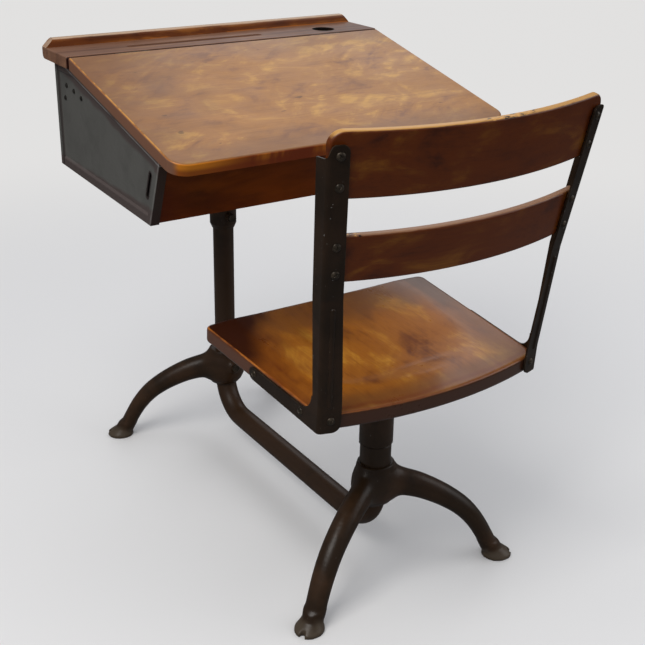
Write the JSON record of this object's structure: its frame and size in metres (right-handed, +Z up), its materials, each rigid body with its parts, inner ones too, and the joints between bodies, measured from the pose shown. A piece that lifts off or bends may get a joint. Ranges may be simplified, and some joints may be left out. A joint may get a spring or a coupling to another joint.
{
  "type": "school desk with attached swivel seat",
  "caption": "Child's school desk: sloping lift lid on a pressed-steel book box and a swivel seat with slatted back, both on one bent tube with arched cast feet.",
  "frame": {"origin": "on the floor, under the middle of the whole desk's bounding box", "axes": "+Z up, +Y the way the sitter faces, +X to the sitter's right"},
  "size_m": [0.61, 0.8559, 0.8085],
  "materials": {
    "dark_enamel": "semi-gloss",
    "cast_dark": "semi-gloss enamel on castings",
    "grey_enamel": "satin enamel",
    "fastener": "darkened steel",
    "hinge_steel": "worn steel",
    "lid_wood": "worn varnish",
    "top_wood": "worn varnish",
    "red_wood": "dark varnish",
    "seat_wood": "glossy varnish"
  },
  "bodies": {
    "base": {"frame_tube": "dark_enamel", "desk_pedestal": "cast_dark", "seat_pedestal": "cast_dark", "pedestal_set_screws": "fastener"},
    "desk_box": {"desk_socket": "cast_dark", "desk_height_screw": "fastener", "desk_socket_bolts": "fastener", "box_side_left": "grey_enamel", "box_side_right": "grey_enamel", "box_bottom": "grey_enamel", "box_back": "grey_enamel", "strip_bracket_left": "grey_enamel", "strip_bracket_right": "grey_enamel", "bracket_rivets_left": "grey_enamel", "bracket_rivets_right": "grey_enamel", "front_apron": "red_wood", "top_strip": "top_wood", "back_rail": "top_wood", "hinge_strip_leaf_left": "hinge_steel", "hinge_strip_leaf_right": "hinge_steel", "hinge_pin_left": "hinge_steel", "hinge_pin_right": "hinge_steel"},
    "lid": {"lid": "lid_wood", "lid_cleat_left": "red_wood", "lid_cleat_right": "red_wood", "hinge_lid_leaf_left": "hinge_steel", "hinge_lid_leaf_right": "hinge_steel"},
    "seat_column": {"seat_sleeve": "dark_enamel", "seat_height_screw": "fastener", "swivel_washer": "fastener"},
    "seat": {"seat_spider": "cast_dark", "seat_spider_screws": "fastener", "seat_board": "seat_wood", "upright_left": "dark_enamel", "upright_right": "dark_enamel", "slat_screws_left": "fastener", "slat_screws_right": "fastener", "arm_screws_left": "fastener", "arm_screws_right": "fastener", "corner_screw_left": "fastener", "corner_screw_right": "fastener", "back_slat_lower": "red_wood", "back_slat_upper": "red_wood"}
  },
  "joints": [
    {"name": "desk_height", "type": "slide", "parent": "base", "child": "desk_box", "axis": [0, 0, 1], "range_m": [-0.03, 0.05]},
    {"name": "lid_hinge", "type": "hinge", "parent": "desk_box", "child": "lid", "pos_m": [0, 0.254, 0.7908], "axis": [-1, 0, 0], "range_deg": [0, 85]},
    {"name": "seat_height", "type": "slide", "parent": "base", "child": "seat_column", "axis": [0, 0, 1], "range_m": [0, 0.06]},
    {"name": "seat_swivel", "type": "hinge", "parent": "seat_column", "child": "seat", "pos_m": [0, -0.204, 0.347], "axis": [0, 0, 1], "range_deg": [-45, 45]}
  ]
}
